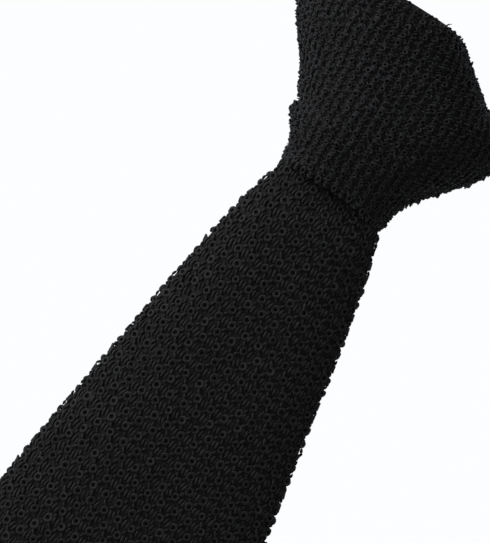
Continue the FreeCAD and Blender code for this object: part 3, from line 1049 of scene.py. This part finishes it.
def thread_row(name, runs):
    """Row of thread stitches, which stand out towards the back."""
    points, faces = [], []
    for a, b in runs:
        shape, quads = thread_arch(np.array(a, float), np.array(b, float), Y_AXIS)
        faces.append(quads + len(points) * len(shape))
        points.append(shape)
    piece = new_mesh(name, np.concatenate(points), np.concatenate(faces), materials=[THREAD])
    return piece


def make_back_seam(strip, bodies):
    """Slip stitches down the middle of the back, in the same lengths as the cloth, each a little aslant."""
    nodes = [f"{strip}_seam_{part}" for part in ("upper", "middle", "lower")]
    y, top = box_mm(nodes[0])[0][1], box_mm(nodes[0])[1][2]
    bottom = box_mm(nodes[-1])[0][2]
    tops = np.arange(top, bottom + STITCH_PITCH / 2 - ROUNDING, -STITCH_PITCH)
    ends = CUTS + (-bottom,)
    for index, (start, end) in enumerate(zip((0.0,) + CUTS, ends)):
        runs = []
        for z in tops[(tops <= -start) & (tops > -end)]:
            runs.append(((-STITCH_SLANT, y, z), (STITCH_SLANT, y, z - STITCH_PITCH / 2)))
        if not runs:
            continue
        piece = thread_row(f"{strip}_seam_{index}_thread", runs)
        if index < len(BENDS):
            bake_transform(piece)
            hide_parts(nodes[index])
        else:
            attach(piece, bodies[-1])


def make_hem_stitches(node, body):
    """Slanted stitches along the hem's edge, over it and into the back."""
    low, high = box_mm(node)
    count = round((high[0] - low[0] + STITCH_PITCH / 2) / STITCH_PITCH)
    z = (low[2] + high[2]) / 2
    runs = []
    for index in range(count):
        left = low[0] + index * STITCH_PITCH
        start, end = (z + reach for reach in HEM_STITCH_REACH)
        runs.append(((left, low[1], start), (left + STITCH_PITCH / 2, low[1], end)))
    piece = thread_row(f"{node}_thread", runs)
    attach(piece, body)
    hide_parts(node)


KEEPER_THICK = 0.22
KEEPER_BEVEL = 0.2
KEEPER_SHARES = 12                # cells across the ribbon's width
KEEPER_POINTS = 150
KEEPER_FOOT = 4.5                 # width of each foot
KEEPER_FOOT_LIFT = 0.35
KEEPER_TOP_DROP = 0.25
# X and Y from the inner end of the foot as it leaves it, and from there and the top as it levels out
KEEPER_LEAVES = ((-1.2, 0.02), (0.1, 1.2))
KEEPER_LEVELS = ((0.5, -1.6), (1.8, -0.1), (5.0, 0.0))
TACK_COUNT = 5
TACK_INSET = 0.6
TACK_HALF = 0.9
TACK_SLANT = 0.5


def keeper_path(low, high):
    """X and Y of the ribbon's middle, from one foot over the tail to the other."""
    inner = low[0] + KEEPER_FOOT
    foot_y, top_y = BLADE_BACK_Y + KEEPER_FOOT_LIFT, high[1] - KEEPER_TOP_DROP
    path = [(low[0], foot_y)]
    path += [(inner + x, foot_y + y) for x, y in KEEPER_LEAVES]
    path += [(inner + x, top_y + y) for x, y in KEEPER_LEVELS]
    return path + [(-x, y) for x, y in reversed(path)]


def keeper_section(low, high):
    """Outline across the ribbon: heights between low and high, and distances out from its middle."""
    outline = []
    for z, way, out in ((low, 1, -KEEPER_THICK), (high, -1, KEEPER_THICK)):
        outline += [(z + way * KEEPER_BEVEL, -out), (z, 0), (z + way * KEEPER_BEVEL, out)]
        for share in range(1, KEEPER_SHARES):
            outline.append((z + way * (high - low) * share / KEEPER_SHARES, out))
    return outline


def make_keeper():
    """Woven ribbon across the tail, its feet tacked to the back of the blade."""
    low, high = box_mm("keeper_loop")
    path = keeper_path(low, high)
    length = path_lengths(path)
    fine = np.linspace(0, length[-1], KEEPER_POINTS)
    xs, ys = (curve_through(length, values)(fine) for values in zip(*path))
    run = unit(np.stack([np.gradient(xs), np.gradient(ys)], -1))
    outline = keeper_section(low[2], high[2])
    rows = []
    for x, y, (along_x, along_y) in zip(xs, ys, run):
        rows.append([(x - along_y * out, y + along_x * out, z) for z, out in outline])
    keeper = grid_mesh("keeper_ribbon", shut(np.array(rows)), RIBBON)
    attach(keeper, "blade_middle")
    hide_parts("keeper_loop")


def make_tacks():
    """Stitches that hold down the keeper's two feet."""
    low, high = box_mm("keeper_tacks")
    runs = []
    for x in (low[0] + TACK_INSET, high[0] - TACK_INSET):
        for index in range(TACK_COUNT):
            z = low[2] + (high[2] - low[2]) * (index + 0.5) / TACK_COUNT
            runs.append(((x - TACK_HALF, low[1], z - TACK_SLANT), (x + TACK_HALF, low[1], z + TACK_SLANT)))
    tacks = thread_row("keeper_tacks_thread", runs)
    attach(tacks, "blade_middle")
    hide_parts("keeper_tacks")


LABEL_CURL = 0.35
LABEL_HALF_THICK = 0.15
PATCH_COLUMNS = 40
LABEL_ROWS = 40
TAPE_ROWS = 8
WAVE_TURN = 2.2       # radians of the wave out to each side edge, its middle level and its size
WAVE_LEVEL = 0.6
WAVE_SIZE = 0.6


def soft_patch(name, low, high, curl, material, count, thick):
    """Thin closed patch of ribbon in the XZ plane, with a gentle wave and folded side edges."""
    across = np.linspace(-1, 1, PATCH_COLUMNS)
    x = low[0] + (high[0] - low[0]) * (across + 1) / 2
    middle_y = (low[1] + high[1]) / 2
    grid = []
    for share in np.linspace(0, 1, count):
        z = high[2] + (low[2] - high[2]) * share
        wave = curl * share * (np.cos(across * WAVE_TURN) - WAVE_LEVEL) * WAVE_SIZE
        front = np.stack([x, middle_y + wave + thick, 0 * across + z], -1)
        back = front[::-1] - np.array([0, 2 * thick, 0])
        grid.append(np.concatenate([front, back]))
    return grid_mesh(name, shut(np.array(grid)), material)


def make_label():
    low, high = box_mm("care_label")
    label = soft_patch("care_label_satin", low, high, LABEL_CURL, SATIN, LABEL_ROWS, LABEL_HALF_THICK)
    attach(label, "label")
    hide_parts("care_label")
    low, high = box_mm("care_label_tape")
    tape = soft_patch("care_label_tape_ribbon", low, high, 0.0, RIBBON, TAPE_ROWS, (high[1] - low[1]) / 2)
    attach(tape, "blade_lower")
    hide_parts("care_label_tape")


def make_details():
    make_hem("front_blade_hem", "front_blade_hem", BLADE_HALF, BLADE_BACK_Y, -BLADE_LENGTH, "blade_lower")
    make_hem("tail_hem", "tail_hem", TAIL_HALF, TAIL_BACK_Y, -TAIL_LENGTH, "tail_lower")
    for strip, bodies in (("front_blade", BLADE_BODIES), ("tail", TAIL_BODIES)):
        make_back_seam(strip, bodies)
        make_hem_stitches(f"{strip}_hem_stitches", bodies[-1])
    make_keeper()
    make_tacks()
    make_label()
    for node, material in (("neckband_stay_tape", RIBBON), ("neck_join_seams", THREAD)):
        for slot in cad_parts[node].material_slots:
            slot.material = material


# ---------- stage, light and camera

VIEW_CENTRE = (-6.83, -10.0, -21.1)
VIEW_HEIGHT = 110.8
VIEW_ROLL = 31.0
LENS = 200.0
SENSOR = 36.0
FLOOR_RADIUS = 2.3
FLOOR_GAP = 0.02
FLOOR_COLOUR = (0.76, 0.76, 0.76)
FLOOR_SIDES = 128
FLOOR_ROUGHNESS = 0.8
FLOOR_SPECULAR = 0.2
WORLD_COLOUR = (0.98, 0.985, 1.0, 1)
WORLD_STRENGTH = 1.0
KEY_SIZE = 0.6
KEY_ENERGY = 25.0
KEY_PLACE = (-760, -300, 260)


def make_camera():
    """Square on to the knot's front, and rolled, as the tie hangs aslant in the picture."""
    camera = bpy.data.objects.new("camera", bpy.data.cameras.new("camera"))
    camera.data.lens = LENS
    camera.data.sensor_width = SENSOR
    bpy.context.scene.collection.objects.link(camera)
    distance = VIEW_HEIGHT / 1000 * LENS / SENSOR
    roll = math.radians(VIEW_ROLL)
    right = Vector((math.cos(roll), 0, math.sin(roll)))
    up = Vector((-math.sin(roll), 0, math.cos(roll)))
    back = Vector((0, -1, 0))
    turn = Matrix((right, up, back)).transposed().to_4x4()
    camera.matrix_world = Matrix.Translation(Vector(place(VIEW_CENTRE)) + back * distance) @ turn
    bpy.context.scene.camera = camera


def make_light():
    world = bpy.data.worlds.new("studio")
    world.use_nodes = True
    background = world.node_tree.nodes["Background"]
    background.inputs["Color"].default_value = WORLD_COLOUR
    background.inputs["Strength"].default_value = WORLD_STRENGTH
    bpy.context.scene.world = world
    lamp = bpy.data.lights.new("key", "AREA")
    lamp.size = KEY_SIZE
    lamp.energy = KEY_ENERGY
    key = bpy.data.objects.new("key", lamp)
    bpy.context.scene.collection.objects.link(key)
    key.location = place(KEY_PLACE)
    key.rotation_euler = (Vector(place((0, 0, 0))) - key.location).to_track_quat("-Z", "Y").to_euler()


def make_floor():
    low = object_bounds()[0][2]
    bpy.ops.mesh.primitive_circle_add(vertices=FLOOR_SIDES, radius=FLOOR_RADIUS, fill_type="NGON",
                                      location=(0, 0, low - FLOOR_GAP))
    floor = bpy.context.object
    floor.name = "floor"
    material, _ = principled("floor_paint", FLOOR_COLOUR, FLOOR_ROUGHNESS, FLOOR_SPECULAR)
    floor.data.materials.append(material)


bpy.context.scene.view_settings.view_transform = "Standard"
make_camera()
make_light()
make_floor()
make_blade()
make_tail()
make_knot()
make_loop()
make_details()
